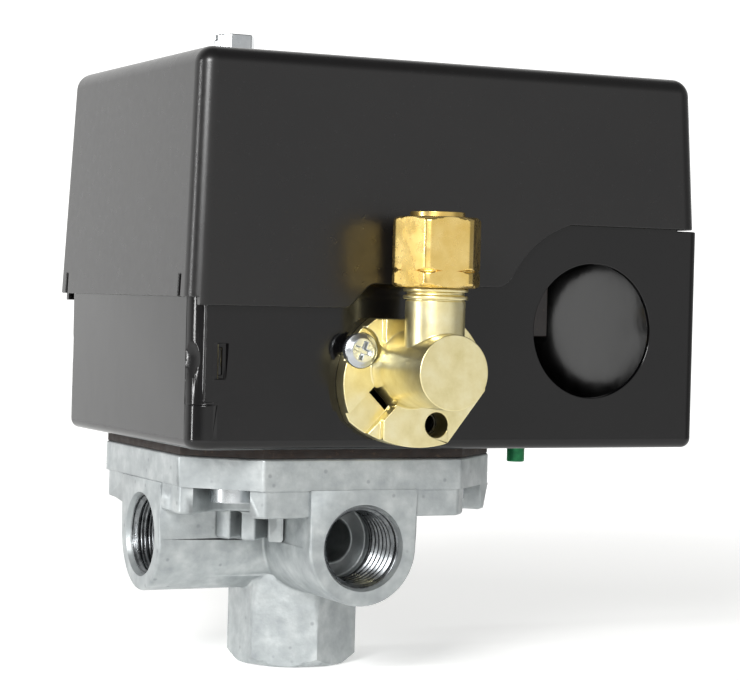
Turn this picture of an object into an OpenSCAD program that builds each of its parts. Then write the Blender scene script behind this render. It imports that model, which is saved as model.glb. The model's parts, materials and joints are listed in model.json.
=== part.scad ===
// Compressor pressure switch: four-port manifold, diaphragm, lever mechanism, contacts,
// steel base and cover, and a side unloader valve. Millimetres, +Z up. The origin is the
// centre of the bottom port's mouth; +X runs along the housing and -Y is the valve side.

/* [Manifold] */
// Height of the manifold, from the bottom port's mouth to the top of the flange
manifold_h = 36.4; // [34:0.1:42]
// Width across the flange's flats
flange_w = 56; // [52:0.5:64]
// Thickness of the flange
flange_t = 5.1; // [4:0.1:7]
// Leg of the flange's corner chamfers
flange_chamfer = 10.5; // [6:0.5:12]
// Height of the side ports' axis
port_z = 22; // [20:0.1:23]
// Distance from the centre to the front port's face
port_reach = 28.2; // [27:0.1:34]
// Radius of the side ports' bosses
boss_r = 9.4; // [9:0.1:11]
// Radius of a pipe port's wall
port_r = 6.5; // [6:0.05:7]
// Radius of a pipe port's chamfered mouth
port_mouth_r = 7; // [6.6:0.05:7.6]
// Depth of a pipe port
port_depth = 13; // [11:0.5:15]
// Width across the bottom port's hexagon
hex_af = 19.05; // [18:0.05:24]
// Screw spacing under the flange, both ways
screw_pitch = 37; // [34:0.5:40]

/* [Diaphragm] */
// Thickness of the diaphragm between flange and base
diaphragm_t = 1.6; // [1:0.1:3]
// Radius of the plunger's plate
plunger_r = 12; // [10:0.5:13]

/* [Base] */
// Length of the base
base_l = 91; // [86:1:120]
// Width of the base
base_w = 63; // [60:1:90]
// Distance from the port axis to the base's left end
base_left = 31; // [30:0.5:36]
// Sheet thickness of the base
base_t = 1; // [0.8:0.1:1.2]
// Height of the base's low walls
wall_low = 28; // [26:0.5:30]
// Height of the base's tall walls, up to the cover's edge
wall_tall = 36.6; // [35:0.1:40]
// Radius of the tray's corners at the left end
tray_r = 4; // [3:0.5:6]
// Radius of the tray's corners at the right end
tray_rr = 2; // [1.8:0.1:4]
// Radius of the bend between the tray's floor and its walls
tray_bend = 1.6; // [1.3:0.1:1.7]

/* [Conduit] */
// Diameter of the conduit holes
conduit_d = 22.2; // [20:0.1:24]
// Distance from the base's right end to the conduit holes' axis
conduit_from_end = 20.6; // [16:0.1:24]
// Height of the conduit holes' axis above the base's floor
conduit_z = 19.5; // [17:0.1:21]

/* [Cover] */
// Sheet thickness of the cover
cover_t = 0.8; // [0.6:0.1:1.2]
// How far the cover's lower edge stands out past the base, front and back
cover_over = 1.6; // [1.5:0.1:2]
// Height of the cover's top above the base's underside
cover_top = 62.3; // [60:0.5:80]
// Height of the cover's lower edge above the base's underside
cover_edge = 22.4; // [20:0.2:24]
// Draft of the cover's walls in degrees
cover_draft = 2.4; // [2:0.1:2.6]
// Radius of the cover's corners
cover_r = 3; // [2:0.5:4]
// Distance from the base's left end to the cover's screw
post_from_left = 18; // [16:0.5:22]

/* [Springs] */
// Outer diameter of the range spring
range_d = 15; // [12:0.5:16]
// Wire diameter of the range spring
range_wire = 1.8; // [1.2:0.1:2]
// Outer diameter of the differential spring
diff_d = 9; // [7:0.5:10]

/* [Unloader valve] */
// Diameter of the valve's flange
valve_flange_d = 24.5; // [22:0.5:26]
// Diameter of the valve's barrel
valve_barrel_d = 11.7; // [10:0.1:13]
// Distance from the base's wall to the end of the barrel
valve_reach = 18.5; // [17:0.1:22]
// Diameter of the valve's stem
valve_stem_d = 10.1; // [9.6:0.1:10.4]
// Width across the compression nut's flats
nut_af = 12.7; // [12.6:0.1:15]
// Diameter of the unloader tube
tube_d = 6.35; // [6:0.05:6.5]

/* [Hidden] */
$fn = 48;

zincCast = "#a9abaa";
blackPaint = "#18181a";
zincPlate = "#b9bcc0";
paleBrass = "#c2ab6a";
goldBrass = "#cfa347";
phenolic = "#221d1b";
copperTone = "#b5713f";

eps = 0.02;                                   // overlap that joins pieces of one solid
base_z = manifold_h + diaphragm_t;            // underside of the base
floor_z = base_z + base_t;                    // inner floor of the base
x0 = -base_left;                              // left end of the base
x1 = x0 + base_l;                             // right end of the base
xm = (x0 + x1) / 2;
yw = base_w / 2;                              // outer face of the front and back walls
yi = yw - base_t;                             // inner face of the front and back walls
low_z = base_z + wall_low;                    // top of the low walls
tall_z = base_z + wall_tall;                  // top of the tall walls, under the cover's edge
conduit_x = x1 - conduit_from_end;
hole_z = base_z + conduit_z;                  // height of the conduit axis
hole_r = conduit_d / 2;
pocket_r = 4.9;                               // pockets for the screw heads
passage_r = 3.6;                              // passages from the ports to the middle
hex_h = port_z - 4;                           // the bottom hexagon runs up into the bosses
screw_o = screw_pitch / 2;
m4 = 2;                                       // radius of the flange screws

// step line of the cover's lower edge
top_z = base_z + cover_top;
edge_low = base_z + cover_edge;
edge_mid = edge_low + 3.9;
edge_high = tall_z + 0.25;
edge_left = edge_low + 1.2;                   // lower edge of the cover's left face
arch_r = hole_r + 7;                          // the edge runs round the conduit hole
step_x = -4;                                  // middle of the small step, beside the valve
draft = tan(cover_draft);
post_x = x0 + post_from_left;

// frame and lever
frame_t = 1.5;
frame_half = 20.5;                             // half width over the frame's cheeks
frame_floor = floor_z + frame_t;              // top of the frame's plate
hinge_x = 9;
hinge_z = floor_z + 13;
pin_r = 1.5;
lever_t = 1.5;
lever_z = hinge_z + 1;                        // underside of the lever's web
lever_top = lever_z + lever_t;
lever_half = frame_half - frame_t - 0.5;
lever_left = post_x - range_d / 2 - 1.6;      // left end of the lever
web_right = hinge_x + 5.5;                    // right end of the lever's wide web
lever_right = hinge_x + 13.5;                 // right end of the lever's tongue
tongue_half = 4;
fit = 0.04;                                   // running fit on the radius

// range adjustment
post_r = 3;
post_top = top_z - cover_t - 1;               // the post stops under the cover's top
range_len = 21;
range_z0 = lever_top + 0.8;                   // the spring's lower end, over the lever's cup
range_z1 = range_z0 + range_len;
range_turns = 6;
seat_t = 2;
nut_h = 5;
nut_play = 0.25;

// differential adjustment, beside the range post
diff_x = post_x;
diff_y = range_d / 2 + diff_d / 2 + 1.8;
diff_r = 1.75;
diff_wire = 1;
diff_len = 12;
diff_z0 = lever_top + 0.3;
diff_z1 = diff_z0 + diff_len;
diff_turns = 6;

// terminal block and contacts
wall_x = lever_right + 1;                     // left face of the terminal block's wall
block_half = 25;                              // half width of the terminal block
shelf_l = 11;                                 // from the wall's left face to the shelf's end
screw_x = wall_x + 7.5;                       // row of terminal screws
pole_y = 13.5;                                // the two poles lie this far each side of middle
pole_gap = 6.5;                               // half the distance between a pole's two contacts
contact_t = 1;
contact_w = 5;
shelf_z = floor_z + 20.3;                     // top of the shelf, under the fixed contacts
rivet_h = 0.6;
rivet_z = shelf_z - rivet_h;                  // faces of the fixed contacts' rivets
bridge_t = 1;
open_gap = 0.1;                               // closed contacts are modelled this far apart
bridge_z = rivet_z - open_gap - rivet_h - bridge_t;
carrier_x = hinge_x + 10;                     // middle of the contact carrier
carrier_half = 3.7;                           // half its length along X
carrier_play = 0.7;                           // play over and under the lever's tongue
block_feet = [[wall_x + 6.2, -7], [wall_x + 6.2, block_half - 4]];

// unloader valve
valve_x = 4.2;                                // axis of the barrel and the stem
valve_z = base_z + 13;                        // axis of the barrel
flange_x = 5.1;                               // middle of the valve's flange
flange_z = base_z + 10.75;
valve_t = 3;                                  // thickness of the valve's flange
valve_y = -yw - valve_reach;                  // end of the barrel
stem_y = -yw - valve_reach + 7;               // axis of the stem
nut_z0 = base_z + 25.9;
nut_z1 = nut_z0 + 10.9;
stem_top = nut_z0 + 6.2;
tube_r = tube_d / 2;
collar_r = tube_r + 1.1;                      // ferrule's collar, seen in the top of the nut
seat_depth = 1.2;                             // depth of the screw head's seat in the flange
screw_p = [-4.3 - flange_x, 5.1];             // screw and spare hole, from the flange's middle
spare_p = [3.6, -6.55];
cam_y = -yi + 4.6;                            // the lever's cam, where it meets the pin's tip
cam_slope = 1.45;                             // pin travel for each unit of the cam's lift
pin_tip = 1.2;
arm_w = 3;                                    // width of the lever's arm that carries the cam

ground_x = 32.4;                              // ground screw, under the wiring space
ground_r = 1.5;
ground_y = -19;

// an octagonal plate, w across, with corner chamfers c
module octagon(w, c) {
    h = w / 2;
    polygon([[h, h - c], [h - c, h], [c - h, h], [-h, h - c],
             [-h, c - h], [c - h, -h], [h - c, -h], [h, c - h]]);
}

// copies of the children at the four screw positions
module at_screws() {
    for (sx = [-1, 1], sy = [-1, 1])
        translate([sx * screw_o, sy * screw_o, 0]) children();
}

// a blind or through hole along -Y, from y = 0 inwards to +Y
module hole_y(r, depth) {
    rotate([-90, 0, 0]) cylinder(r = r, h = depth);
}

// a U-shaped boss along Y, from y = -reach to y = back, with its round side down
module port_boss(reach, back, r) {
    translate([0, -reach, port_z]) rotate([-90, 0, 0]) cylinder(r = r, h = reach + back);
    translate([-r, -reach, port_z])
        cube([2 * r, reach + back, manifold_h - flange_t - port_z + eps]);
}

// a pipe port with a chamfered mouth and a passage to the middle
module port_bore(reach) {
    translate([0, -reach, port_z]) {
        hole_y(port_r, port_depth);
        translate([0, -eps, 0]) rotate([-90, 0, 0])
            cylinder(r1 = port_mouth_r, r2 = port_r, h = 1.2);
        hole_y(passage_r, reach - passage_r - 0.2);
    }
}

module manifold() {
    tier_z = manifold_h - flange_t - 4.4;
    color(zincCast) difference() {
        union() {
            translate([0, 0, manifold_h - flange_t])
                linear_extrude(flange_t) octagon(flange_w, flange_chamfer);
            // second tier under the flange
            translate([0, 0, tier_z]) linear_extrude(4.4 + eps)
                octagon(flange_w - 0.8, flange_chamfer);
            // front and back bosses in one, and across them the left boss and its blank stub
            port_boss(port_reach, port_reach - 0.4, boss_r);
            rotate([0, 0, -90]) port_boss(port_reach - 0.4, boss_r + 3, boss_r - 0.05);
            // bottom hexagon, its mouth edge rounded off by a cone
            intersection() {
                rotate([0, 0, 30]) cylinder(r = hex_af / sqrt(3), h = hex_h, $fn = 6);
                union() {
                    cylinder(r1 = hex_af / 2 - 0.2, r2 = hex_af / sqrt(3), h = 1.5);
                    translate([0, 0, 1.5 - eps]) cylinder(r = hex_af, h = hex_h);
                }
            }
            // casting ribs in the corners between the ports, up to the screw pockets
            for (a = [0, 90, 180, 270], b = [-13, 0, 13]) rotate([0, 0, a + 45 + b])
                translate([boss_r, -1.3, tier_z - 4.8])
                    cube([screw_o * sqrt(2) - pocket_r - 0.8 - boss_r, 2.6, 4.8 + eps]);
        }
        for (a = [-90, 0, 180]) rotate([0, 0, a]) port_bore(a == 0 ? port_reach : port_reach - 0.4);
        // bottom port
        translate([0, 0, -eps]) cylinder(r = port_r, h = port_depth);
        translate([0, 0, 1]) cylinder(r = passage_r + 0.8, h = port_z + passage_r);
        // pressure chamber under the diaphragm
        translate([0, 0, port_z - 1]) cylinder(r = 3, h = manifold_h);
        translate([0, 0, manifold_h - 2]) cylinder(r = plunger_r + 1, h = 3);
        // screw holes, and pockets for the heads open to the corners
        at_screws() translate([0, 0, tier_z - 5]) cylinder(r = m4 + 0.2, h = manifold_h);
        for (a = [0, 90, 180, 270]) rotate([0, 0, a + 45])
            translate([screw_o * sqrt(2), 0, tier_z - 5]) {
                cylinder(r = pocket_r, h = 9.4);
                translate([0, -pocket_r, 0]) cube([12, 2 * pocket_r, 9.4]);
            }
    }
}

module manifold_screws() {
    head_z = manifold_h - flange_t;
    color(zincPlate) at_screws() difference() {
        union() {
            translate([0, 0, head_z - 2.4]) cylinder(r = 4, h = 2.4);
            translate([0, 0, head_z - eps]) cylinder(r = m4, h = frame_floor + 2.6 - head_z);
        }
        // hexagonal socket
        translate([0, 0, head_z - 2.4 - eps]) cylinder(r = 1.7, h = 1.5, $fn = 6);
    }
}

module diaphragm() {
    color("#2b2420") difference() {
        translate([0, 0, manifold_h]) linear_extrude(diaphragm_t)
            octagon(flange_w - 0.6, flange_chamfer - 0.4);
        at_screws() translate([0, 0, manifold_h - 1]) cylinder(r = m4 + 0.3, h = diaphragm_t + 2);
    }
}

module plunger() {
    color(zincPlate) {
        translate([0, 0, base_z + 0.05]) cylinder(r = plunger_r, h = base_t + 0.6);
        translate([0, 0, floor_z + 0.6 - eps]) cylinder(r = 4, h = lever_z - floor_z - 2.6);
        translate([0, 0, lever_z - 2.05]) cylinder(r1 = 4, r2 = 0.7, h = 1.9);
    }
}

// the tray: floor with a bend all round, and a low wall; "in" draws it inwards by a sheet
module tray_solid(in, h) {
    bend = tray_bend - in;
    hull() {
        for (sx = [-1, 1], sy = [-1, 1]) {
            r = (sx < 0 ? tray_r : tray_rr) - in;
            translate([xm + sx * (base_l / 2 - in - r), sy * (yw - in - r), 0]) {
                rotate_extrude($fn = 32) polygon(concat([[0, 0], [r - bend, 0]],
                    [for (a = [-75:15:-15]) [r - bend + bend * cos(a), bend + bend * sin(a)]],
                    [[r, bend], [0, bend]]));
                translate([0, 0, h - 1]) cylinder(r = r, h = 1, $fn = 32);
            }
        }
    }
}

// the front wall, its outer face at y = -base_t, with the conduit hole and a slot
module long_wall() {
    lap = arch_r + 2.5;                       // the wall reaches this far round the conduit hole
    wall_x0 = x0 + 1.9;
    a0 = asin((low_z - hole_z) / lap);
    arch = [for (t = [0:1 / 12:1]) let (a = 90 + (90 - a0) * t)
            [conduit_x + lap * cos(a), hole_z + lap * sin(a)]];
    difference() {
        rotate([90, 0, 0]) linear_extrude(base_t)
            polygon(concat([[wall_x0, low_z], [wall_x0, base_z + 7.5], [x0 + tray_r, base_z + 7.5],
                            [x0 + tray_r, base_z + tray_r], [x1 - tray_rr + eps, base_z + tray_r],
                            [x1 - tray_rr + eps, tall_z], [x1 - tray_r - 0.5, tall_z],
                            [x1 - tray_r - 0.5, hole_z + lap]], arch));
        translate([conduit_x, -5, hole_z]) hole_y(hole_r, 12);
        // slot for the end wall's locking tab
        translate([x0 + 2.9, -5, base_z + 11]) cube([2.6, 12, 5.6]);
    }
}

module base() {
    color(blackPaint) difference() {
        union() {
            difference() {
                translate([0, 0, base_z]) tray_solid(0, 7);
                translate([0, 0, floor_z]) tray_solid(base_t, 7);
            }
            translate([0, -yi, 0]) long_wall();
            mirror([0, 1, 0]) translate([0, -yi, 0]) long_wall();
            // left end wall
            translate([x0, -yw + tray_r - 0.2, base_z + tray_r])
                cube([base_t, base_w - 2 * tray_r + 0.4, wall_low - tray_r]);
            // vertical bends of the left end wall's locking flanges
            for (s = [-1, 1]) {
                intersection() {
                    translate([x0 + tray_r, s * (yw - tray_r), base_z + 6]) difference() {
                        cylinder(r = tray_r - 0.05, h = wall_low - 6.8);
                        translate([0, 0, -1]) cylinder(r = tray_r - base_t, h = wall_low);
                        // shallow dent where the flange was bent
                        rotate([0, 0, s * 155]) translate([tray_r + 9.5, 0, 8]) sphere(r = 10);
                    }
                    translate([x0, s > 0 ? yw - tray_r : -yw, base_z + 6]) cube([tray_r, tray_r, wall_low]);
                }
                translate([x0 + tray_r - eps, s > 0 ? yi - base_t + 0.3 : -yi - 0.3, base_z + 6])
                    cube([6, base_t, wall_low - 12]);
                // curled tab that fills the slot
                translate([x0 + 4.2, s * (yi + 0.05), base_z + 11.6]) cylinder(r = 0.75, h = 4.4);
            }
            // right end wall and its joggled strip
            translate([x1 - base_t, -yw + tray_rr - 0.2, base_z + tray_r])
                cube([base_t, base_w - 2 * tray_rr + 0.4, wall_tall - tray_r]);
            translate([x1 - base_t - 2.2, -yw + 6, tall_z - 3]) cube([base_t, base_w - 12, 7.5]);
            translate([x1 - base_t - 2.2, -yw + 6, tall_z - 3]) cube([2.6, base_w - 12, 1.5]);
            for (s = [-1, 1]) translate([x1 - tray_rr, s * (yw - tray_rr), base_z + 6]) intersection() {
                difference() {
                    cylinder(r = tray_rr, h = wall_tall - 6);
                    translate([0, 0, -1]) cylinder(r = tray_rr - base_t, h = wall_tall);
                }
                translate([0, s > 0 ? 0 : -tray_rr, 0]) cube([tray_rr, tray_rr, wall_tall]);
            }
        }
        // diaphragm opening, screw holes and ground screw hole
        translate([0, 0, base_z - 1]) cylinder(r = plunger_r + 0.5, h = base_t + 3);
        at_screws() translate([0, 0, base_z - 1]) cylinder(r = m4 + 0.2, h = base_t + 3);
        translate([ground_x, ground_y, base_z - 1]) cylinder(r = ground_r + 0.05, h = base_t + 3);
        for (p = block_feet) translate([p[0], p[1], base_z - 1]) cylinder(r = 1.55, h = base_t + 3);
        // opening behind the unloader valve and its screw holes
        translate([valve_x, -yw - 1, valve_z]) hole_y(4.6, base_t + 2);
        for (p = [screw_p, spare_p]) translate([flange_x + p[0], -yw - 1, flange_z + p[1]])
            hole_y(1.6, base_t + 2);
    }
}

module frame() {
    cheek_top = hinge_z + 4.5;
    color(zincPlate) difference() {
        union() {
            // plate on the base's floor
            translate([-screw_o - 5, -screw_o - 5, floor_z]) cube([2 * screw_o + 8.5, 2 * screw_o + 10, frame_t]);
            // cheeks that carry the hinge pin
            for (s = [-1, 1]) translate([hinge_x, s * (frame_half - frame_t / 2), 0])
                rotate([90, 0, 0]) translate([0, 0, -frame_t / 2]) linear_extrude(frame_t)
                    polygon([[-8, floor_z + 0.5], [8, floor_z + 0.5], [4.5, cheek_top], [-4.5, cheek_top]]);
            // boss round the range post
            translate([post_x, 0, floor_z + 0.5]) cylinder(r = 5, h = frame_t + 5.5);
        }
        translate([0, 0, floor_z - 1]) cylinder(r = plunger_r + 0.6, h = frame_t + 2);
        // window in the front cheek for the lever's arm
        translate([valve_x - 4, -frame_half - 1, lever_z - 0.7])
            cube([4 + arm_w / 2 + 0.5, frame_t + 2, lever_t + 2]);
        at_screws() translate([0, 0, floor_z - 1]) cylinder(r = m4 + 0.02, h = frame_t + 3);
        translate([post_x, 0, floor_z - 1]) cylinder(r = post_r + 0.02, h = 12);
        translate([diff_x, diff_y, floor_z - 1]) cylinder(r = diff_r + 0.02, h = 8);
        translate([hinge_x, -frame_half - 1, hinge_z]) hole_y(pin_r + 0.02, 2 * frame_half + 2);
    }
}

module hinge_pin() {
    color(zincPlate) difference() {
        translate([hinge_x, -frame_half - 2.2, hinge_z]) hole_y(pin_r, 2 * frame_half + 4.4);
        for (s = [-1, 1]) translate([hinge_x, s * (frame_half + 0.95), hinge_z]) rotate([90, 0, 0])
            translate([0, 0, -0.35]) difference() {
                cylinder(r = pin_r + 1, h = 0.7);
                translate([0, 0, -1]) cylinder(r = pin_r - 0.4, h = 3);
            }
    }
}

module hinge_clips() {
    color("#3c3f42") for (s = [-1, 1]) translate([hinge_x, s * (frame_half + 0.95), hinge_z])
        rotate([90, 0, 0]) translate([0, 0, -0.3]) difference() {
            cylinder(r = 2.9, h = 0.6);
            translate([0, 0, -1]) cylinder(r = pin_r - 0.38, h = 3);
            translate([-0.9, 0, -1]) cube([1.8, 5, 3]);
        }
}

module main_lever() {
    cup_r = range_d / 2 + 0.3;
    cam_top = lever_top;
    cam_low = valve_z - 2.2;
    color("#9da1a6") difference() {
        union() {
            // wide web, and the tongue that works the contact carrier
            translate([lever_left, -lever_half, lever_z])
                cube([web_right - lever_left, 2 * lever_half, lever_t]);
            translate([web_right - eps, -tongue_half, lever_z])
                cube([lever_right - web_right, 2 * tongue_half, lever_t]);
            // sides that ride on the hinge pin
            for (s = [-1, 1]) translate([hinge_x, s * (lever_half - lever_t / 2), hinge_z]) {
                rotate([90, 0, 0]) translate([0, 0, -lever_t / 2]) cylinder(r = 3.4, h = lever_t);
                translate([-5, -lever_t / 2, 0]) cube([10, lever_t, lever_top - hinge_z - 0.1]);
            }
            // cup under the range spring
            translate([post_x, 0, lever_top - eps]) difference() {
                cylinder(r = cup_r + 0.8, h = 2);
                translate([0, 0, 0.8]) cylinder(r = cup_r, h = 3);
            }
            // arm and sloping cam that push the unloader's pin outwards
            translate([valve_x - arm_w / 2, cam_y + 1, lever_z])
                cube([arm_w, -lever_half - cam_y - 1 + eps, lever_t]);
            translate([valve_x - arm_w / 2, 0, 0]) rotate([90, 0, 90]) linear_extrude(arm_w)
                polygon([[cam_y + 1.2 - cam_slope * (valve_z - cam_top) + 1.3, cam_top],
                         [cam_y - cam_slope * (valve_z - cam_top), cam_top],
                         [cam_y - cam_slope * (valve_z - cam_low), cam_low],
                         [cam_y - cam_slope * (valve_z - cam_low) + 2.5, cam_low]]);
        }
        translate([post_x, 0, lever_z - 1]) cylinder(r = post_r + 1.2, h = 8);
        translate([diff_x, diff_y, lever_z - 1]) cylinder(r = diff_r + 0.9, h = 8);
        translate([hinge_x, -lever_half - 1, hinge_z]) hole_y(pin_r + fit, 2 * lever_half + 2);
    }
}

module range_post() {
    color(zincPlate) difference() {
        translate([post_x, 0, frame_floor + 1.1]) cylinder(r = post_r, h = post_top - frame_floor - 1.1);
        translate([post_x, 0, post_top - 12]) cylinder(r = 1.7, h = 13);
    }
}

// a coil spring as a stack of wire rings joined by short posts inside the wire's width
module ring_spring(od, wire, len, turns) {
    pitch = (len - wire) / turns;
    for (i = [0:turns]) translate([0, 0, wire / 2 + i * pitch])
        rotate_extrude() translate([od / 2 - wire / 2, 0]) circle(r = wire / 2, $fn = 24);
    for (i = [0:turns - 1]) rotate([0, 0, i * 137]) translate([od / 2 - wire / 2, 0, wire / 2 + i * pitch])
        cylinder(r = wire / 2 - 0.1, h = pitch, $fn = 16);
}

module range_spring() {
    color("#8d9095") translate([post_x, 0, range_z0])
        ring_spring(range_d, range_wire, range_len, range_turns);
}

module range_seat() {
    color(zincPlate) difference() {
        union() {
            translate([post_x, 0, range_z1]) cylinder(r = range_d / 2 + 0.6, h = 1);
            translate([post_x, 0, range_z1 + 1 - eps]) cylinder(r = 4.4, h = seat_t - 1);
        }
        translate([post_x, 0, range_z1 - 1]) cylinder(r = post_r + 0.25, h = 6);
    }
}

module range_nut() {
    color(zincPlate) difference() {
        translate([post_x, 0, range_z1 + seat_t]) intersection() {
            cylinder(r = 5.8, h = nut_h, $fn = 6);
            cylinder(r1 = 7.2, r2 = 5.2, h = nut_h);
        }
        translate([post_x, 0, range_z1]) cylinder(r = post_r + nut_play, h = 12);
    }
}

module diff_stud() {
    color(zincPlate) translate([diff_x, diff_y, floor_z + 0.05])
        cylinder(r = diff_r, h = diff_z1 + 10 - floor_z);
}

module diff_spring() {
    color("#8d9095") translate([diff_x, diff_y, diff_z0])
        ring_spring(diff_d, diff_wire, diff_len, diff_turns);
}

module diff_seat() {
    color(zincPlate) difference() {
        translate([diff_x, diff_y, diff_z1]) cylinder(r = diff_d / 2 - 0.3, h = 1);
        translate([diff_x, diff_y, diff_z1 - 1]) cylinder(r = diff_r + 0.25, h = 4);
    }
}

module diff_nut() {
    color(zincPlate) difference() {
        translate([diff_x, diff_y, diff_z1 + 1]) cylinder(r = 3.3, h = 3, $fn = 6);
        translate([diff_x, diff_y, diff_z1 - 1]) cylinder(r = diff_r + 0.2, h = 8);
    }
}

// centres of the four contacts, pole by pole
contact_y = [-pole_y - pole_gap, -pole_y + pole_gap, pole_y - pole_gap, pole_y + pole_gap];

module terminal_block() {
    rim_z = shelf_z - 3;
    color(phenolic) difference() {
        union() {
            // wall, shelf and feet
            translate([wall_x, -block_half, floor_z]) cube([3, 2 * block_half, shelf_z + 5 - floor_z]);
            translate([wall_x, -block_half, rim_z]) cube([shelf_l, 2 * block_half, 3]);
            for (p = block_feet) translate([wall_x, p[1] - 4, floor_z]) cube([9, 8, 3]);
            // barriers between the terminals
            for (y = [-block_half, -pole_y - 0.8, -0.8, pole_y - 0.8, block_half - 1.6])
                translate([wall_x, y, shelf_z - eps]) cube([shelf_l, 1.6, 8]);
        }
        // windows for the fixed contacts, and the carrier's guide groove
        for (y = contact_y) translate([wall_x - 1, y - contact_w / 2 - 0.1, shelf_z - 0.02])
            cube([5, contact_w + 0.2, contact_t + 0.3]);
        translate([wall_x - 1, -3.3, floor_z - 1]) cube([2.8, 6.6, 40]);
        for (p = block_feet) translate([p[0], p[1], floor_z - 1]) cylinder(r = 1.52, h = 5);
        for (y = contact_y) translate([screw_x, y, rim_z - 1]) cylinder(r = 1.62, h = 6);
    }
}

module block_screws() {
    color(zincPlate) for (p = block_feet) translate([p[0], p[1], 0]) difference() {
        union() {
            translate([0, 0, base_z + 0.05]) cylinder(r = 1.5, h = base_t + 3.1);
            translate([0, 0, floor_z + 3.02]) cylinder(r = 2.8, h = 1.8);
        }
        translate([-3, -0.4, floor_z + 4]) cube([6, 0.8, 2]);
    }
}

module fixed_contact(i) {
    color(goldBrass) difference() {
        union() {
            translate([carrier_x - 2.5, contact_y[i] - contact_w / 2, shelf_z])
                cube([wall_x + shelf_l - 0.5 - carrier_x + 2.5, contact_w, contact_t]);
            // rivet that the bridge meets
            translate([carrier_x, contact_y[i], rivet_z]) cylinder(r = 1.8, h = rivet_h + eps);
        }
        translate([screw_x, contact_y[i], shelf_z - 1]) cylinder(r = 1.7, h = 4);
    }
}

module terminal_screws() {
    clamp_top = shelf_z + contact_t + 1.1;
    color(zincPlate) for (y = contact_y) translate([screw_x, y, 0]) difference() {
        union() {
            translate([0, 0, shelf_z - 3.5]) cylinder(r = 1.6, h = 7);
            translate([0, 0, clamp_top]) cylinder(r = 3, h = 2);
        }
        translate([-3.5, -0.5, clamp_top + 1]) cube([7, 1, 2]);
        translate([-0.5, -3.5, clamp_top + 1]) cube([1, 7, 2]);
    }
}

module clamp_plates() {
    color(goldBrass) for (y = contact_y) translate([screw_x, y, shelf_z + contact_t]) difference() {
        translate([-3, -2.6, 0.02]) cube([6, 5.2, 1.05]);
        translate([0, 0, -1]) cylinder(r = 1.7, h = 4);
    }
}

module contact_carrier() {
    x = carrier_x - carrier_half;
    l = 2 * carrier_half;
    beam_z = lever_top + carrier_play;
    color("#2a2422") difference() {
        union() {
            // yoke round the lever's tongue, beam across the poles, tower at each pole
            translate([x, -7, lever_z - carrier_play - 2]) cube([l, 14, beam_z - lever_z + carrier_play + 3.6]);
            translate([x, -pole_y - 2.6, beam_z]) cube([l, 2 * pole_y + 5.2, 1.6]);
            for (s = [-1, 1]) translate([x, s * pole_y - 2.6, beam_z]) cube([l, 5.2, shelf_z + 1 - beam_z]);
            // guide rib that runs in the terminal block's groove
            translate([carrier_x + carrier_half - eps, -3, lever_z - carrier_play - 2])
                cube([2.2, 6, beam_z - lever_z + carrier_play + 3.6]);
        }
        translate([x - 1, -tongue_half - 0.5, lever_z - carrier_play])
            cube([l + 4, 2 * tongue_half + 1, lever_t + 2 * carrier_play]);
        // windows that the bridges cross, each over a pocket for its spring
        for (s = [-1, 1]) {
            translate([carrier_x - 2.7, s * pole_y - 4, bridge_z - 0.2]) cube([5.4, 8, bridge_t + 1]);
            translate([carrier_x, s * pole_y, beam_z + 0.4]) cylinder(r = 1.8, h = bridge_z - beam_z);
        }
    }
}

module contact_bridge(s) {
    color(copperTone) {
        translate([carrier_x - 2.5, s * pole_y - pole_gap - contact_w / 2, bridge_z])
            cube([5, 2 * pole_gap + contact_w, bridge_t]);
        for (d = [-1, 1]) translate([carrier_x, s * pole_y + d * pole_gap, bridge_z + bridge_t - eps])
            cylinder(r = 1.8, h = rivet_h + eps);
    }
}

module contact_spring(s) {
    z0 = lever_top + carrier_play + 0.42;
    color("#8d9095") translate([carrier_x, s * pole_y, z0]) ring_spring(3.2, 0.4, bridge_z - z0 - 0.02, 2);
}

module ground_screw() {
    color("#1f7a45") translate([ground_x, ground_y, 0]) difference() {
        union() {
            translate([0, 0, base_z - 3]) cylinder(r = ground_r, h = base_t + 5);
            translate([0, 0, floor_z + 0.02]) cylinder(r = 4.2, h = 2.6);
        }
        translate([-4.5, -0.6, floor_z + 1.6]) cube([9, 1.2, 2]);
    }
}

// the outline of the valve's flange: a disc with a flat top, a flatter bottom and a slanted corner
module valve_plate(y, t) {
    intersection() {
        translate([flange_x, y, flange_z]) hole_y(valve_flange_d / 2, t);
        translate([flange_x - 15, y - 1, flange_z - 15]) cube([30, t + 2, 25.15]);
        translate([flange_x + 0.7, y - 1, flange_z + 7.85]) hole_y(18, t + 2);
        translate([flange_x, y - 1, flange_z]) rotate([0, 38, 0])
            translate([-20, 0, -20]) cube([30.2, t + 2, 40]);
    }
}

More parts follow.
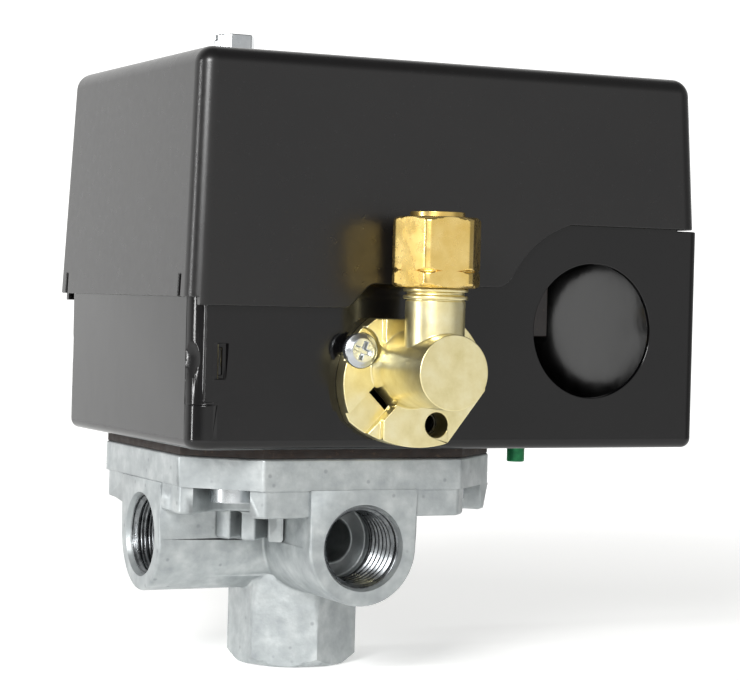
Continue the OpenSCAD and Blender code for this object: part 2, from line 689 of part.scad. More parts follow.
module unloader_body() {
    fy = -yw - valve_t;
    color(paleBrass) difference() {
        union() {
            valve_plate(fy, valve_t - 0.02);
            // thicker part of the flange, to the right of the screw
            intersection() {
                valve_plate(fy - 1.2, 2);
                translate([valve_x - 4.8, fy - 2, flange_z - 20]) cube([40, 4, 40]);
            }
            // tapered hub and barrel
            translate([valve_x, fy - 2.4, valve_z]) rotate([-90, 0, 0])
                cylinder(r1 = valve_barrel_d / 2, r2 = valve_barrel_d / 2 + 0.9, h = 2.6);
            translate([valve_x, valve_y, valve_z]) hole_y(valve_barrel_d / 2, valve_reach - valve_t);
            // stem, with its thread as rings
            translate([valve_x, stem_y, valve_z])
                cylinder(r = valve_stem_d / 2 - 0.4, h = nut_z0 - 2 - valve_z);
            translate([valve_x, stem_y, nut_z0 - 2.1])
                cylinder(r = valve_stem_d / 2 - 0.6, h = stem_top - nut_z0 + 2.1);
            for (i = [0:6]) translate([valve_x, stem_y, nut_z0 - 1.8 + i * 1.15])
                cylinder(r = valve_stem_d / 2, h = 0.6);
            // sleeve through the base's wall
            translate([valve_x, -yw - 0.5, valve_z]) hole_y(4.4, base_t + 1.5);
        }
        // valve bore and tube passage
        translate([valve_x, valve_y + 3, valve_z]) hole_y(2.9, valve_reach + 5);
        translate([valve_x, stem_y, valve_z]) cylinder(r = 2, h = 40);
        translate([valve_x, stem_y, nut_z0]) cylinder(r = tube_r + 0.1, h = 40);
        translate([valve_x, stem_y, stem_top - 1.2]) cylinder(r1 = tube_r + 0.1, r2 = tube_r + 0.7, h = 1.3);
        // screw hole, its counterbore and the spare hole
        for (p = [screw_p, spare_p]) translate([flange_x + p[0], fy - 3, flange_z + p[1]]) hole_y(2, valve_t + 5);
        translate([flange_x + screw_p[0], fy - 4, flange_z + screw_p[1] + 0.5]) hole_y(3.2, 4 + seat_depth);
        // vent groove, down to the left, with a slot through the flange
        translate([valve_x, fy, valve_z]) rotate([0, -45, 0]) {
            translate([-20, -2, -2.3]) cube([13.8, 3.2, 4.6]);
            translate([-7, -2, -2]) cube([1.2, valve_t + 3, 4]);
        }
    }
}

module unloader_screw() {
    color(zincPlate) translate([flange_x + screw_p[0], -yw, flange_z + screw_p[1]]) difference() {
        union() {
            translate([0, seat_depth - valve_t - 1.3, 0]) hole_y(2.7, 1.28);
            translate([0, seat_depth - valve_t - 2, 0]) rotate([-90, 0, 0]) cylinder(r1 = 1.9, r2 = 2.7, h = 0.72);
            translate([0, -valve_t, 0]) hole_y(1.5, valve_t + base_t + 2.4);
        }
        for (a = [20, 110]) rotate([0, a, 0])
            translate([-1.5, seat_depth - valve_t - 2.3, -0.35]) cube([3, 1.2, 0.7]);
    }
}

module unloader_pin() {
    collar_y = -yi + 0.3;
    // middle of the ball at the inner end, just clear of the cam's slope
    tip_y = cam_y - (pin_tip + 0.12) * sqrt(1 + cam_slope * cam_slope);
    color(zincPlate) {
        translate([valve_x, stem_y + 4.4, valve_z]) hole_y(pin_tip, tip_y - stem_y - 4.4);
        translate([valve_x, collar_y, valve_z]) hole_y(2.4, 0.9);
        translate([valve_x, tip_y, valve_z]) sphere(r = pin_tip);
    }
}

module unloader_gland() {
    color(goldBrass) translate([valve_x, -yw - 4.4, valve_z]) difference() {
        hole_y(2.85, 0.7);
        translate([0, -1, 0]) hole_y(pin_tip + 0.05, 3);
    }
}

module unloader_spring() {
    y0 = -yw - 3.68;
    color("#8d9095") translate([valve_x, y0, valve_z]) rotate([-90, 0, 0])
        ring_spring(4.8, 0.5, -yi + 0.28 - y0, 5);
}

module unloader_seal() {
    color("#141414") translate([valve_x, -yw - 5.25, valve_z]) rotate([-90, 0, 0])
        rotate_extrude() translate([2.04, 0]) circle(r = 0.8, $fn = 24);
}

module unloader_disc() {
    color("#141414") translate([valve_x, stem_y + 3.2, valve_z]) hole_y(2.3, 1.18);
}

module compression_nut() {
    h = nut_z1 - nut_z0;
    color(goldBrass) translate([valve_x, stem_y, nut_z0]) rotate([0, 0, -8]) difference() {
        intersection() {
            cylinder(r = nut_af / sqrt(3), h = h, $fn = 6);
            cylinder(r = nut_af / sqrt(3) - 0.35, h = h);
            union() {
                cylinder(r1 = nut_af / 2 - 0.2, r2 = nut_af / 2 + 1.4, h = 1);
                translate([0, 0, 0.9]) cylinder(r = nut_af, h = h - 1.8);
                translate([0, 0, h - 1]) cylinder(r1 = nut_af / 2 + 1.4, r2 = nut_af / 2 - 0.2, h = 1);
            }
        }
        // groove round the corners
        translate([0, 0, 2.6]) rotate_extrude()
            polygon([[nut_af / 2 + 0.08, 0], [nut_af, -3.2], [nut_af, 3.2]]);
        // thread space, cone and tube hole
        translate([0, 0, -1]) cylinder(r = valve_stem_d / 2 + 0.3, h = stem_top - nut_z0 + 1.2);
        translate([0, 0, stem_top - nut_z0 + 0.1]) cylinder(r1 = valve_stem_d / 2 + 0.3, r2 = collar_r + 0.1, h = 1.6);
        translate([0, 0, 2]) cylinder(r = collar_r + 0.1, h = h);
    }
}

module ferrule() {
    color(goldBrass) translate([valve_x, stem_y, 0]) difference() {
        translate([0, 0, stem_top + 0.1]) cylinder(r = collar_r, h = nut_z1 + 0.7 - stem_top);
        translate([0, 0, stem_top - 1]) cylinder(r = tube_r + 0.05, h = 20);
    }
}

// the cover's envelope: drafted walls and rounded top corners, drawn in by "inset"
module cover_form(inset, z_low, z_top) {
    r = cover_r - inset * 0.6;
    run = z_top - r - z_low;
    d0 = (z_low - edge_low) * draft;
    d1 = (z_top - r - edge_low) * draft;
    left = x0 - 1.5;
    right = x1 - 0.2;
    hull() {
        for (sx = [0, 1], sy = [-1, 1]) {
            translate([sx == 0 ? left + inset + d0 + r : right - inset - d0 - r,
                       sy * (yw + cover_over - inset - d0 - r), z_low]) cylinder(r = r, h = 0.01, $fn = 32);
            translate([sx == 0 ? left + inset + d1 + r : right - inset - d1 - r,
                       sy * (yw + cover_over - inset - d1 - r), z_low + run]) sphere(r = r, $fn = 32);
        }
    }
}

// everything below the cover's stepped lower edge, in the XZ plane
module below_edge() {
    f = 4;                                    // fillet where the edge meets the arch
    fillet_a = asin((edge_mid + f - hole_z) / (arch_r + f));
    fillet_x = conduit_x - (arch_r + f) * cos(fillet_a);
    a0 = 180 - fillet_a;
    a1 = 180 - asin(min(1, (edge_high - hole_z) / arch_r));
    arch = concat([for (t = [0:0.125:0.875]) let (a = 270 + (90 - fillet_a) * t)
                   [fillet_x + f * cos(a), edge_mid + f + f * sin(a)]],
                  [for (t = [0:1 / 16:1]) let (a = a0 + (a1 - a0) * t)
                   [conduit_x + arch_r * cos(a), hole_z + arch_r * sin(a)]]);
    s = [for (t = [0:0.125:1]) [step_x - 2.6 + 5.2 * t, edge_low + (edge_mid - edge_low) * (3 * t * t - 2 * t * t * t)]];
    polygon(concat([[x0 - 20, base_z - 10], [x0 - 20, edge_left], [x0 + 0.2, edge_left], [x0 + 0.2, edge_low]],
                   s, arch, [[x1 + 20, edge_high], [x1 + 20, base_z - 10]]));
}

module cover() {
    color(blackPaint) difference() {
        cover_form(0, edge_low - 0.5, top_z);
        cover_form(cover_t, edge_low - 2, top_z - cover_t);
        translate([0, yw + 20, 0]) rotate([90, 0, 0]) linear_extrude(base_w + 40) below_edge();
        // short slits beside the left corners
        for (s = [-1, 1]) translate([x0 - 4, s * (yw - 3.6) - 0.5, edge_left - 1]) cube([4, 1, 4.5]);
        translate([post_x, 0, top_z - 5]) cylinder(r = 2.4, h = 10);
    }
}

module cover_screw() {
    color(zincPlate) translate([post_x, 0, top_z + 0.02]) {
        difference() {
            union() {
                cylinder(r = 4.2, h = 1);
                cylinder(r = 3.65, h = 5.2, $fn = 6);
            }
            translate([-5, -0.5, 4.2]) cube([10, 1, 2]);
        }
        translate([0, 0, -8]) cylinder(r = 1.6, h = 8.5);
    }
}

manifold();
manifold_screws();
diaphragm();
plunger();
base();
frame();
hinge_pin();
hinge_clips();
main_lever();
range_post();
range_spring();
range_seat();
range_nut();
diff_stud();
diff_spring();
diff_seat();
diff_nut();
terminal_block();
block_screws();
fixed_contact(0);  // fixed_contact_1
fixed_contact(1);  // fixed_contact_2
fixed_contact(2);  // fixed_contact_3
fixed_contact(3);  // fixed_contact_4
terminal_screws();
clamp_plates();
contact_carrier();
contact_bridge(-1);  // contact_bridge_1
contact_bridge(1);  // contact_bridge_2
contact_spring(-1);  // contact_spring_1
contact_spring(1);  // contact_spring_2
ground_screw();
unloader_body();
unloader_screw();
unloader_pin();
unloader_spring();
unloader_gland();
unloader_seal();
unloader_disc();
compression_nut();
ferrule();
cover();
cover_screw();
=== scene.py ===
import math
import json

import bmesh
import bpy
import numpy as np
from mathutils import Matrix, Vector

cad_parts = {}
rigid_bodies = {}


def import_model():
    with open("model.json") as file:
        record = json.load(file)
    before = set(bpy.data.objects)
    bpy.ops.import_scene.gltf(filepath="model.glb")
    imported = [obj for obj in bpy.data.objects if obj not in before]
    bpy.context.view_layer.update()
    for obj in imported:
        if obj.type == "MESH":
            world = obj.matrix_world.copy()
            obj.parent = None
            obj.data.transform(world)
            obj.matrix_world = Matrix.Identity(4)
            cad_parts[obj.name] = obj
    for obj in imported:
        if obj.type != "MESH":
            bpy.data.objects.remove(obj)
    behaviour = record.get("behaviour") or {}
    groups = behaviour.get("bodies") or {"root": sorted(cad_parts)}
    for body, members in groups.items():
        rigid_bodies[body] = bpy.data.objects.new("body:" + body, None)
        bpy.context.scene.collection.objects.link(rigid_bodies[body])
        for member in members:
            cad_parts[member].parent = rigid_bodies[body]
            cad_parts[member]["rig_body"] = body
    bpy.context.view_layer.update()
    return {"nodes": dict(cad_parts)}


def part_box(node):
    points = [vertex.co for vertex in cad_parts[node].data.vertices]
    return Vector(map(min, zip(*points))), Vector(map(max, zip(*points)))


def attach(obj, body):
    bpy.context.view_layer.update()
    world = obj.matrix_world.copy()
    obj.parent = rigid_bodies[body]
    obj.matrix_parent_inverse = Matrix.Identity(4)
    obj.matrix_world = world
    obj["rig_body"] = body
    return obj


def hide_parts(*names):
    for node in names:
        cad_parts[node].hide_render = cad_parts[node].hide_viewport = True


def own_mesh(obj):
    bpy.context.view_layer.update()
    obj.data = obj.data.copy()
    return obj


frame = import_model()
scene = bpy.context.scene
mm = 0.001
print("frame loaded:", len(frame["nodes"]), "nodes")


def linearColour(code):
    # an sRGB hex colour turned to linear: a short straight foot, then a power of 2.4
    rgb = np.array([int(code[i:i + 2], 16) for i in (1, 3, 5)]) / 255
    linear = np.where(rgb <= 0.04045, rgb / 12.92, ((rgb + 0.055) / 1.055) ** 2.4)
    return (float(linear[0]), float(linear[1]), float(linear[2]), 1.0)


def addNode(tree, kind, settings=None, links=None):
    # one shader node: each setting goes to the input or property of that name
    node = tree.nodes.new(kind)
    for name, value in (settings or {}).items():
        if isinstance(name, int) or name in node.inputs:
            node.inputs[name].default_value = value
        else:
            setattr(node, name, value)
    for name, source in (links or {}).items():
        tree.links.new(source, node.inputs[name])
    return node


# What each finish is and how it meets the eye. Sizes are in millimetres: "mottle" is the width
# of a colour patch, "patches" the width of a dull or shiny patch, "specks" the colour, width and
# edge of small dots, and each bump is (width, height).
finishes = {
    # die-cast zinc, tumbled: matt pale grey, cloudy, with a faint skin of flow marks
    "zincDieCast": {
        "colours": [(0.25, "#93989a"), (0.5, "#a6abac"), (0.75, "#bcc0c0")], "mottle": 3.2,
        "metallic": 0.72, "roughness": (0.36, 0.50), "patches": 4.0,
        "bumps": [(0.5, 0.022), (2.6, 0.10)], "specks": ("#7d8183", 0.8, 0.30)},
    # the same zinc where a tap has cut it, shinier along the thread; its colour is darker than the
    # casting as painted shade for the inside of the ports
    "tappedZincPaintedShade": {
        "colours": [(0.3, "#55585a"), (0.7, "#85888a")], "mottle": 1.4,
        "metallic": 1.0, "roughness": (0.22, 0.38), "patches": 1.2, "bumps": [(0.3, 0.008)]},
    # satin black powder coat on the cover: soft wide highlights and a fine orange peel
    "satinBlackPaint": {
        "colours": [(0.3, "#0d0c0d"), (0.7, "#121111")], "mottle": 22.0,
        "metallic": 0.0, "roughness": (0.27, 0.31), "patches": 1.5,
        "bumps": [(0.28, 0.004), (1.6, 0.006)], "specks": ("#2c2c2e", 0.35, 0.22),
        "shader": {"Specular IOR Level": 0.5}},
    # glossy black enamel on the base: mirror-like, with slow waves from the drawn sheet
    "glossBlackEnamel": {
        "colours": [(0.3, "#080809"), (0.7, "#0c0b0c")], "mottle": 16.0,
        "metallic": 0.0, "roughness": (0.10, 0.16), "patches": 8.0,
        "bumps": [(1.4, 0.004), (12.0, 0.05)], "specks": ("#2b2a2b", 0.3, 0.20),
        "shader": {"Specular IOR Level": 0.41}},
    # pale machined brass: satin and slightly green
    "turnedBrass": {
        "colours": [(0.28, "#dccf98"), (0.5, "#e8dcaa"), (0.72, "#f0e7bd")], "mottle": 2.6,
        "metallic": 1.0, "roughness": (0.28, 0.38), "patches": 3.0,
        "bumps": [(0.3, 0.012), (3.0, 0.015)]},
    # golden bar brass of the nut and ferrule, brightly finished
    "barBrass": {
        "colours": [(0.3, "#e0bd69"), (0.7, "#efd287")], "mottle": 3.0,
        "metallic": 1.0, "roughness": (0.22, 0.32), "patches": 2.2,
        "bumps": [(0.3, 0.004), (2.2, 0.02)]},
    # bright zinc plate on pressed steel and screws: blue-white with cloudy passivation
    "brightZincPlate": {
        "colours": [(0.3, "#b3b7bb"), (0.7, "#cfd2d3")], "mottle": 4.0,
        "metallic": 1.0, "roughness": (0.22, 0.36), "patches": 2.5,
        "bumps": [(0.35, 0.004), (4.0, 0.02)]},
    # drawn spring wire, oiled: grey with fine lengthwise scratches
    "springWire": {
        "colours": [(0.3, "#74777b"), (0.7, "#94979b")], "mottle": 2.0,
        "metallic": 1.0, "roughness": (0.26, 0.40), "patches": 1.5, "bumps": [(0.2, 0.006)]},
    # blackened spring steel of the pin's clips
    "blackenedSteel": {
        "colours": [(0.3, "#2a2c2e"), (0.7, "#3d3f42")], "mottle": 1.6,
        "metallic": 0.9, "roughness": (0.36, 0.5), "patches": 1.2, "bumps": [(0.25, 0.004)]},
    # fabric-reinforced rubber of the diaphragm: brown-black, with its cut threads at the edge
    "fabricRubber": {
        "colours": [(0.3, "#1c1613"), (0.62, "#2b211c"), (0.8, "#5a4a3c")], "mottle": 0.8,
        "metallic": 0.0, "roughness": (0.62, 0.85), "patches": 1.6,
        "bumps": [(0.5, 0.05), (0.2, 0.02)]},
    # moulded nitrile rubber of the small seals
    "nitrileRubber": {
        "colours": [(0.3, "#131313"), (0.7, "#1c1c1b")], "mottle": 1.2,
        "metallic": 0.0, "roughness": (0.5, 0.62), "patches": 1.0, "bumps": [(0.2, 0.006)]},
    # compression-moulded phenolic: near black with a brown tinge and faint flow clouds
    "mouldedPhenolic": {
        "colours": [(0.3, "#1c1716"), (0.7, "#2a2220")], "mottle": 3.5,
        "metallic": 0.0, "roughness": (0.30, 0.46), "patches": 3.0,
        "bumps": [(0.5, 0.008), (4.0, 0.03)], "specks": ("#4a3d36", 0.4, 0.30)},
    # rolled copper strip with handling tarnish
    "rolledCopper": {
        "colours": [(0.3, "#8e5230"), (0.7, "#c17a49")], "mottle": 2.2,
        "metallic": 1.0, "roughness": (0.24, 0.42), "patches": 2.0, "bumps": [(0.3, 0.005)]},
    # green-dyed plating of the earth screw
    "greenDyedPlate": {
        "colours": [(0.3, "#12603a"), (0.7, "#2b8f57")], "mottle": 1.4,
        "metallic": 0.55, "roughness": (0.28, 0.42), "patches": 1.5, "bumps": [(0.3, 0.006)]},
}


def noise(tree, coords, width, detail=3.0):
    # cloud noise whose patches are about "width" millimetres across
    return addNode(tree, "ShaderNodeTexNoise", {"Scale": 1 / (width * mm), "Detail": detail,
                   "Roughness": 0.55}, {"Vector": coords})


def makeFinish(name, values):
    # colour from one cloud noise, roughness from another, and heights added up for the bump
    material = bpy.data.materials.new(name)
    material.use_nodes = True
    tree = material.node_tree
    shader = tree.nodes["Principled BSDF"]
    shader.inputs["Metallic"].default_value = values["metallic"]
    for key, value in values.get("shader", {}).items():
        shader.inputs[key].default_value = value
    coords = addNode(tree, "ShaderNodeTexCoord").outputs["Object"]

    cloud = noise(tree, coords, values["mottle"], 5.0)
    ramp = addNode(tree, "ShaderNodeValToRGB", links={"Fac": cloud.outputs["Fac"]})
    elements = ramp.color_ramp.elements
    for i, (place, code) in enumerate(values["colours"]):
        element = elements[i] if i < 2 else elements.new(place)
        element.position = place
        element.color = linearColour(code)
    colour = ramp.outputs["Color"]
    if "specks" in values:
        code, width, edge = values["specks"]
        dots = addNode(tree, "ShaderNodeTexVoronoi", {"Scale": 1 / (width * 4 * mm)},
                       {"Vector": coords})
        mask = addNode(tree, "ShaderNodeMapRange", {"From Min": edge * 0.45, "From Max": edge * 0.2,
                       "To Min": 0.0, "To Max": 0.55}, {"Value": dots.outputs["Distance"]})
        mix = addNode(tree, "ShaderNodeMix", {"data_type": "RGBA", 7: linearColour(code)},
                      {0: mask.outputs["Result"], 6: colour})
        colour = mix.outputs[2]
    tree.links.new(colour, shader.inputs["Base Color"])

    low, high = values["roughness"]
    patches = noise(tree, coords, values["patches"])
    dull = addNode(tree, "ShaderNodeMapRange", {"From Min": 0.3, "From Max": 0.7, "To Min": low,
                   "To Max": high}, {"Value": patches.outputs["Fac"]})
    tree.links.new(dull.outputs["Result"], shader.inputs["Roughness"])

    # heights in metres, each noise scaled by its own depth
    total = None
    for width, depth in values["bumps"]:
        height = addNode(tree, "ShaderNodeMath", {"operation": "MULTIPLY", 1: depth * mm},
                         {0: noise(tree, coords, width).outputs["Fac"]}).outputs[0]
        total = height if total is None else addNode(tree, "ShaderNodeMath", {"operation": "ADD"},
                                                     {0: total, 1: height}).outputs[0]
    bump = addNode(tree, "ShaderNodeBump", {"Distance": 1.0, "Strength": 1.0}, {"Height": total})
    tree.links.new(bump.outputs["Normal"], shader.inputs["Normal"])
    return material


materials = {name: makeFinish(name, values) for name, values in finishes.items()}
print("finishes made:", len(materials))

# Every CAD node: its finish, the width its edges are rounded by in millimetres, and the
# record's slot. Nodes that get a piece of another shape further down are left out.
pieces = {
    "manifold": ("zincDieCast", 0.45, "zinc_casting"),
    "manifold_screws": ("brightZincPlate", 0.2, "zinc_plate"),
    "diaphragm": ("fabricRubber", 0.15, "diaphragm_rubber"),
    "plunger": ("brightZincPlate", 0.2, "zinc_plate"),
    "base": ("glossBlackEnamel", 0.2, "black_gloss_paint"),
    "frame": ("brightZincPlate", 0.2, "zinc_plate"),
    "hinge_pin": ("brightZincPlate", 0.12, "zinc_plate"),
    "hinge_clips": ("blackenedSteel", 0.08, "dark_clip"),
    "main_lever": ("brightZincPlate", 0.2, "zinc_plate"),
    "range_post": ("brightZincPlate", 0.25, "zinc_plate"),
    "range_seat": ("brightZincPlate", 0.15, "zinc_plate"),
    "range_nut": ("brightZincPlate", 0.25, "zinc_plate"),
    "diff_stud": ("brightZincPlate", 0.2, "zinc_plate"),
    "diff_seat": ("brightZincPlate", 0.12, "zinc_plate"),
    "diff_nut": ("brightZincPlate", 0.2, "zinc_plate"),
    "terminal_block": ("mouldedPhenolic", 0.25, "black_phenolic"),
    "block_screws": ("brightZincPlate", 0.12, "zinc_plate"),
    "fixed_contact_1": ("barBrass", 0.15, "golden_brass"),
    "fixed_contact_2": ("barBrass", 0.15, "golden_brass"),
    "fixed_contact_3": ("barBrass", 0.15, "golden_brass"),
    "fixed_contact_4": ("barBrass", 0.15, "golden_brass"),
    "terminal_screws": ("brightZincPlate", 0.15, "zinc_plate"),
    "clamp_plates": ("barBrass", 0.15, "golden_brass"),
    "contact_carrier": ("mouldedPhenolic", 0.2, "black_phenolic"),
    "contact_bridge_1": ("rolledCopper", 0.15, "contact_copper"),
    "contact_bridge_2": ("rolledCopper", 0.15, "contact_copper"),
    "ground_screw": ("greenDyedPlate", 0.2, "green_screw"),
    "unloader_body": ("turnedBrass", 0.18, "pale_brass"),
    "unloader_screw": ("brightZincPlate", 0.15, "zinc_plate"),
    "unloader_pin": ("brightZincPlate", 0.1, "zinc_plate"),
    "unloader_gland": ("barBrass", 0.08, "golden_brass"),
    "unloader_seal": ("nitrileRubber", 0.0, "seal_rubber"),
    "unloader_disc": ("nitrileRubber", 0.1, "seal_rubber"),
    "compression_nut": ("barBrass", 0.22, "golden_brass"),
    "ferrule": ("barBrass", 0.1, "golden_brass"),
    "cover": ("satinBlackPaint", 0.2, "black_satin_paint"),
    "cover_screw": ("brightZincPlate", 0.2, "zinc_plate"),
}


def finishPiece(piece, body, material, nodes):
    # gives a piece its finish and its body, and hides the CAD nodes that it stands for
    piece.data.materials.clear()
    piece.data.materials.append(materials[material])
    piece.data.polygons.foreach_set("material_index", np.zeros(len(piece.data.polygons), np.int32))
    piece.data.polygons.foreach_set("use_smooth", np.ones(len(piece.data.polygons), bool))
    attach(piece, body)
    if nodes:
        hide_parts(*nodes)
    return piece


# which edges are rounded: sharper than "sharp" degrees, with corners wider than "corner" degrees,
# faces wider than "reach" widths, and no side shorter than "side" widths unless it runs on
edgeRules = {"sharp": 28, "corner": 24, "reach": 2.1, "side": 1.6, "onward": 0.86,
             "merge": 2e-6, "flat": 0.5, "segments": 2, "weight": 80}


def markEdges(mesh, width):
    # an edge is rounded where the rounding fits; any other sharp edge stays sharp
    weight = mesh.edges.layers.float.new("bevel_weight_edge")
    for edge in mesh.edges:
        if len(edge.link_faces) != 2 or edge.calc_face_angle(0) < math.radians(edgeRules["sharp"]):
            continue
        loops = [corner for loop in edge.link_loops for corner in (loop, loop.link_loop_next)]
        start = edge.verts[0].co
        along = (edge.verts[1].co - start).normalized()
        reach = min(max((v.co - start).cross(along).length for v in face.verts)
                    for face in edge.link_faces)
        fits = width and reach > edgeRules["reach"] * width * mm
        corner = min(loop.calc_angle() for loop in loops)
        fits = fits and corner > math.radians(edgeRules["corner"])
        for end in edge.verts if fits else ():
            outward = (end.co - edge.other_vert(end).co).normalized()
            for other in end.link_edges:
                if other != edge and other.calc_length() < edgeRules["side"] * width * mm:
                    onward = (other.other_vert(end).co - end.co).normalized()
                    fits = fits and outward.dot(onward) > edgeRules["onward"]
        edge[weight] = 1.0 if fits else 0.0
        edge.smooth = bool(fits)


def roundedCopy(node, material, width):
    # the node's triangles joined into whole faces, then its corners rounded
    source = frame["nodes"][node]
    piece = bpy.data.objects.new(node + "_finished", source.data.copy())
    scene.collection.objects.link(piece)
    mesh = bmesh.new()
    mesh.from_mesh(piece.data)
    bmesh.ops.remove_doubles(mesh, verts=mesh.verts, dist=edgeRules["merge"])
    bmesh.ops.dissolve_limit(mesh, angle_limit=math.radians(edgeRules["flat"]),
                             verts=mesh.verts, edges=mesh.edges)
    markEdges(mesh, width)
    mesh.to_mesh(piece.data)
    mesh.free()
    if width:
        edges = piece.modifiers.new("roundedEdges", "BEVEL")
        edges.width = width * mm
        edges.segments = edgeRules["segments"]
        edges.limit_method = "WEIGHT"
        edges.use_clamp_overlap = False
        edges.loop_slide = False
        normals = piece.modifiers.new("faceNormals", "WEIGHTED_NORMAL")
        normals.weight = edgeRules["weight"]
        normals.keep_sharp = True
    return finishPiece(piece, source["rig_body"], material, [node])


for node, (material, width, slot) in pieces.items():
    roundedCopy(node, material, width)
print("rounded pieces:", len(pieces))


def meshPiece(name, points, faces):
    # a new mesh object from arrays of points and faces, its faces turned outwards
    mesh = bpy.data.meshes.new(name)
    mesh.from_pydata(points.tolist(), [], [list(map(int, face)) for face in faces])
    shell = bmesh.new()
    shell.from_mesh(mesh)
    bmesh.ops.recalc_face_normals(shell, faces=shell.faces)
    shell.to_mesh(mesh)
    shell.free()
    piece = bpy.data.objects.new(name, mesh)
    scene.collection.objects.link(piece)
    return piece


def gridQuads(rows, columns, closed):
    # quads over a grid of points whose columns run round; "closed" joins the last row to the first
    r, c = np.meshgrid(np.arange(rows if closed else rows - 1), np.arange(columns), indexing="ij")
    nextR, nextC = (r + 1) % rows, (c + 1) % columns
    corners = [r * columns + c, nextR * columns + c, nextR * columns + nextC, r * columns + nextC]
    return np.stack(corners, -1).reshape(-1, 4)


def coil(name, start, axis, length, outer, wire, turns):
    # a wire swept along a helix: the angle runs evenly, and the height climbs slowly in the
    # end coils and fast between them; each ring lies across the wire
    steps = int((turns + 1.6) * 40)
    t = np.linspace(0, turns + 1.6, steps)
    ends = 0.8
    climb = np.clip(np.minimum(t, t[-1] - t) / ends - 0.4, 0.08, 1.0)
    height = np.concatenate([[0], np.cumsum((climb[1:] + climb[:-1]) / 2)])
    height = wire / 2 + (length - wire) * height / height[-1]
    radius = (outer - wire) / 2
    angle = 2 * np.pi * t
    around = np.linspace(0, 2 * np.pi, 14, endpoint=False)
    radial = np.stack([np.cos(angle), np.sin(angle), np.zeros(steps)], -1)
    across = radius * radial + np.stack([np.zeros(steps), np.zeros(steps), height], -1)
    up = np.array([0, 0, 1.0])
    rings = (across[:, None] + wire / 2 * (np.cos(around)[None, :, None] * radial[:, None]
             + np.sin(around)[None, :, None] * up))
    points = rings.reshape(-1, 3)
    if axis == "Y":
        points = points[:, [0, 2, 1]]
    points = (points + np.array(start)) * mm
    last = (steps - 1) * 14
    faces = [*gridQuads(steps, 14, False), np.arange(14)[::-1], np.arange(last, last + 14)]
    return meshPiece(name, points, faces)


springs = {
    "range_spring": {"wire": 1.8, "turns": 6.0, "keep": 0.81, "joint": "lever_hinge"},
    "diff_spring": {"wire": 1.0, "turns": 6.5, "keep": 0.70, "joint": "lever_hinge"},
    "contact_spring_1": {"wire": 0.4, "turns": 3.0},
    "contact_spring_2": {"wire": 0.4, "turns": 3.0},
    "unloader_spring": {"wire": 0.5, "turns": 4.5, "axis": "Y", "keep": 0.80,
                        "joint": "lever_hinge"},
}
for node, values in springs.items():
    low, high = (np.array(corner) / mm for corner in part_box(node))
    axis = values.get("axis", "Z")
    along = "XYZ".index(axis)
    start = (low + high) / 2
    start[along] = low[along]
    piece = coil(node + "_coil", start, axis, high[along] - low[along], high[0] - low[0],
                 values["wire"], values["turns"])
    body = frame["nodes"][node]["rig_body"]
    finishPiece(piece, body, "springWire", [node])
    if "keep" in values:
        fixed = start.copy()
        if axis == "Z":
            fixed[along] = high[along]
        direction = [0, 0, 0]
        direction[along] = 1
        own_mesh(piece)
print("springs wound")

threads = {"pitch": 1.411, "root": 6.46, "crest": 5.85, "outer": 6.75, "length": 11.4}
portFaces = {
    "bottom": ((0, 0, 0), (0, 0, 1)), "front": ((0, -28.2, 22), (0, 1, 0)),
    "left": ((-27.8, 0, 22), (1, 0, 0)), "back": ((0, 27.8, 22), (0, -1, 0)),
}


def tappedThread(name, face, inward, values):
    # the thread's inner wall is a cylinder whose radius follows a wave that climbs one pitch
    # a turn; it fades out at both ends, and a plain outer wall closes it inside the casting
    rows, columns = 90, 72
    depth = np.linspace(0.9, values["length"], rows)
    angle = np.linspace(0, 2 * np.pi, columns, endpoint=False)
    d, a = np.meshgrid(depth, angle, indexing="ij")
    phase = (d / values["pitch"] - a / (2 * np.pi)) % 1
    ridge = np.clip(1.25 - 2.5 * np.abs(phase - 0.5) * 1.25, 0, 1)
    fade = np.clip((d - 0.9) / 0.8, 0, 1) * np.clip((values["length"] - d) / 0.8, 0, 1)
    inner = values["root"] - (values["root"] - values["crest"]) * ridge * fade
    d = np.concatenate([d, d[::-1]])
    a = np.concatenate([a, a[::-1]])
    r = np.concatenate([inner, np.full_like(inner, values["outer"])])
    inward = np.array(inward, float)
    side = np.array([0, 0, 1.0]) if inward[2] == 0 else np.array([1.0, 0, 0])
    other = np.cross(inward, side)
    points = (np.array(face, float) + d[..., None] * inward + r[..., None]
              * (np.cos(a)[..., None] * side + np.sin(a)[..., None] * other))
    return meshPiece(name, points.reshape(-1, 3) * mm, gridQuads(2 * rows, columns, True))


for port, (face, inward) in portFaces.items():
    piece = tappedThread(port + "_port_thread", face, inward, threads)
    # the threads take the darker zinc: painted shade for the inside of the bores
    finishPiece(piece, "housing", "tappedZincPaintedShade", [])
print("ports tapped")

# a pale floor that fades into the surroundings, a soft world that is bright behind the piece
# and dimmer in front and overhead, a soft key light and a narrow strip for the left edges
studio = {"floor": "#fbfbfa", "floorGlow": 0.36, "floorFade": (0.12, 0.55), "bright": 1.35,
          "walls": [(0.05, 0.66), (0.24, 0.24), (0.62, 0.26), (0.84, 1.0)], "overhead": 0.5,
          "keyPower": 8.5, "stripPower": 2.6}
floorMesh = bpy.data.meshes.new("floor")
floorMesh.from_pydata([(-4, -4, -0.0001), (4, -4, -0.0001), (4, 4, -0.0001), (-4, 4, -0.0001)], [],
                      [(0, 1, 2, 3)])
floor = bpy.data.objects.new("floor", floorMesh)
scene.collection.objects.link(floor)
floorPaint = bpy.data.materials.new("paleFloor")
floorPaint.use_nodes = True
tree = floorPaint.node_tree
shader = tree.nodes["Principled BSDF"]
shader.inputs["Base Color"].default_value = linearColour(studio["floor"])
shader.inputs["Roughness"].default_value = 0.9
shader.inputs["Emission Color"].default_value = linearColour(studio["floor"])
shader.inputs["Emission Strength"].default_value = studio["floorGlow"]
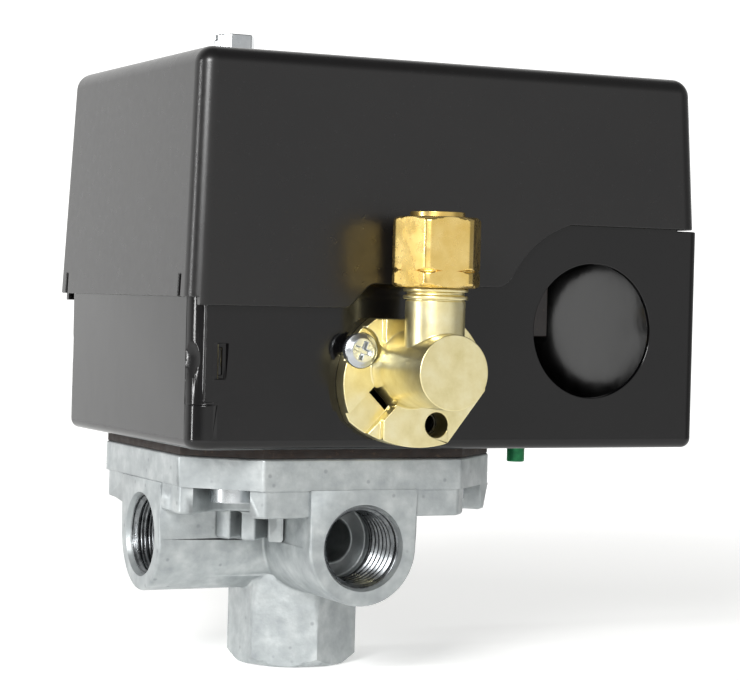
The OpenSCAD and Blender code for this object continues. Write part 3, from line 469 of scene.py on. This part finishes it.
coords = addNode(tree, "ShaderNodeTexCoord").outputs["Object"]
distance = addNode(tree, "ShaderNodeVectorMath", {"operation": "LENGTH"}, {0: coords})
fade = addNode(tree, "ShaderNodeMapRange", {"From Min": studio["floorFade"][0],
               "From Max": studio["floorFade"][1], "To Min": 1.0, "To Max": 0.0},
               {"Value": distance.outputs["Value"]})
tree.links.new(fade.outputs["Result"], shader.inputs["Alpha"])
floorMesh.materials.append(floorPaint)

world = bpy.data.worlds.new("softRoom")
scene.world = world
world.use_nodes = True
tree = world.node_tree
background = tree.nodes["Background"]
direction = addNode(tree, "ShaderNodeTexCoord").outputs["Generated"]
parts = addNode(tree, "ShaderNodeSeparateXYZ", links={"Vector": direction})
half = addNode(tree, "ShaderNodeMapRange", {"From Min": -1.0, "From Max": 1.0},
               {"Value": parts.outputs["Y"]})
wall = addNode(tree, "ShaderNodeValToRGB", links={"Fac": half.outputs["Result"]})
wall.color_ramp.interpolation = "EASE"
elements = wall.color_ramp.elements
for i, (place, level) in enumerate(studio["walls"]):
    element = elements[i] if i < 2 else elements.new(place)
    element.position = place
    element.color = (level, level, level, 1.0)
ceiling = addNode(tree, "ShaderNodeMapRange", {"From Min": 0.35, "From Max": 0.9, "To Min":
                  studio["bright"], "To Max": studio["bright"] * studio["overhead"]},
                  {"Value": parts.outputs["Z"]})
glow = addNode(tree, "ShaderNodeMath", {"operation": "MULTIPLY"},
               {0: wall.outputs["Color"], 1: ceiling.outputs["Result"]})
tree.links.new(glow.outputs[0], background.inputs["Strength"])
background.inputs["Color"].default_value = linearColour("#fdfdfc")


def softLight(name, place, target, width, height, power):
    # a rectangular area light that faces the target
    lamp = bpy.data.lights.new(name, "AREA")
    lamp.shape = "RECTANGLE"
    lamp.size = width
    lamp.size_y = height
    lamp.energy = power
    light = bpy.data.objects.new(name, lamp)
    scene.collection.objects.link(light)
    light.location = place
    light.rotation_euler = (Vector(target) - Vector(place)).to_track_quat("-Z", "Y").to_euler()


softLight("keyLight", (-0.62, -0.66, 0.45), (0, 0, 0.05), 0.3, 0.3, studio["keyPower"])
softLight("edgeStrip", (-0.80, 0.04, 0.10), (0, 0, 0.07), 0.04, 0.6, studio["stripPower"])

view = {"place": (-157.2, -359.6, 62.35), "yaw": 25.404, "pitch": 1.090, "roll": 1.433,
        "lens": 111.73, "sensor": 36.0}
yaw, pitch, roll = (math.radians(view[key]) for key in ("yaw", "pitch", "roll"))
right = Vector((math.cos(yaw), -math.sin(yaw), 0))
ahead = Vector((math.sin(yaw) * math.cos(pitch), math.cos(yaw) * math.cos(pitch), -math.sin(pitch)))
upward = right.cross(ahead)
rightRolled = math.cos(roll) * right + math.sin(roll) * upward
upRolled = math.cos(roll) * upward - math.sin(roll) * right
lensData = bpy.data.cameras.new("camera")
lensData.lens = view["lens"]
lensData.sensor_width = view["sensor"]
lensData.clip_start = 0.01
camera = bpy.data.objects.new("camera", lensData)
scene.collection.objects.link(camera)
turn = Matrix((rightRolled, upRolled, -ahead)).transposed().to_4x4()
camera.matrix_world = Matrix.Translation(Vector(view["place"]) * mm) @ turn
scene.camera = camera
scene.view_settings.view_transform = "Standard"
print("studio ready")
